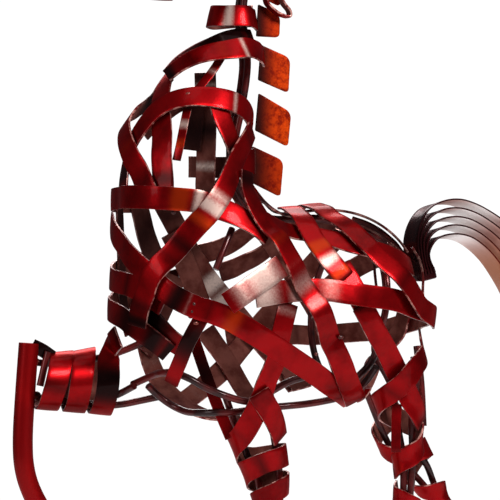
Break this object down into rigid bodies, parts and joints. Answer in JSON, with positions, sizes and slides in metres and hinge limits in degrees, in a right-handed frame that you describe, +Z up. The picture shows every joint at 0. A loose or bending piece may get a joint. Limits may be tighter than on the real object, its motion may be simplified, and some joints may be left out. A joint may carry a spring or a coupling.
{
  "type": "metal horse sculpture",
  "caption": "Prancing horse sculpture woven from red lacquered iron strips over bent rods, with a plated mane, arched bladed tail and one raised foreleg",
  "frame": {"origin": "middle of the part's box in plan, at the undersides of the standing hooves", "axes": "the horse faces -X, its near side is -Y, +Z is up"},
  "size_m": [0.2634, 0.0969, 0.3471],
  "materials": {
    "red_lacquer": "glossy red lacquer with darker airbrushed ends",
    "dark_rod": "glossy black-brown lacquer on iron rod",
    "mane_lacquer": "mottled orange to dark red lacquer",
    "tail_lacquer": "glossy dark maroon lacquer"
  },
  "bodies": {
    "root": {"spine_rod": "dark_rod", "belly_rod": "dark_rod", "breast_rod": "dark_rod", "hip_hoop": "dark_rod", "back_strip_low": "red_lacquer", "back_strip_top": "red_lacquer", "neck_inner_strip": "red_lacquer", "far_belly_strip": "red_lacquer", "far_shoulder_strip": "red_lacquer", "far_rib_strip": "red_lacquer", "far_rump_strip": "red_lacquer", "far_neck_arch": "red_lacquer", "far_withers_sweep": "red_lacquer", "far_shoulder_sweep": "red_lacquer", "neck_back_strip": "red_lacquer", "breast_brace": "red_lacquer", "foreleg_strip": "red_lacquer", "foreleg_inner_strip": "red_lacquer", "flank_strip": "red_lacquer", "croup_strip": "red_lacquer", "chest_strip_low": "red_lacquer", "chest_strip_middle": "red_lacquer", "belly_sweep_strip": "red_lacquer", "neck_front_strip": "red_lacquer", "neck_arch_strip": "red_lacquer", "breast_front_strip": "red_lacquer", "chest_band": "red_lacquer", "shoulder_sweep_strip": "red_lacquer", "loin_strip": "red_lacquer", "barrel_band": "red_lacquer", "barrel_patch": "red_lacquer", "rump_strip": "red_lacquer", "thigh_strip": "red_lacquer", "withers_sweep_strip": "red_lacquer", "neck_dark_strip": "dark_rod", "neck_collar": "red_lacquer", "throat_ring": "red_lacquer", "near_foreleg_tube": "red_lacquer", "near_fore_hoof": "red_lacquer", "near_hindleg_tube": "red_lacquer", "near_hind_hoof": "red_lacquer", "far_hindleg_tube": "red_lacquer", "far_hind_hoof": "red_lacquer", "near_hindleg_winding": "red_lacquer", "far_hindleg_winding": "red_lacquer", "far_foreleg_tube": "red_lacquer", "far_foreleg_winding": "red_lacquer", "far_fore_hoof": "red_lacquer", "mane_plate_1": "mane_lacquer", "mane_plate_2": "mane_lacquer", "mane_plate_3": "mane_lacquer", "mane_plate_4": "mane_lacquer", "mane_plate_5": "mane_lacquer", "tail_blades": "tail_lacquer", "head_loop": "red_lacquer", "cheek_band": "red_lacquer", "muzzle_band": "red_lacquer", "near_ear": "red_lacquer", "far_ear": "red_lacquer", "forelock_loop": "red_lacquer"}
  },
  "joints": []
}
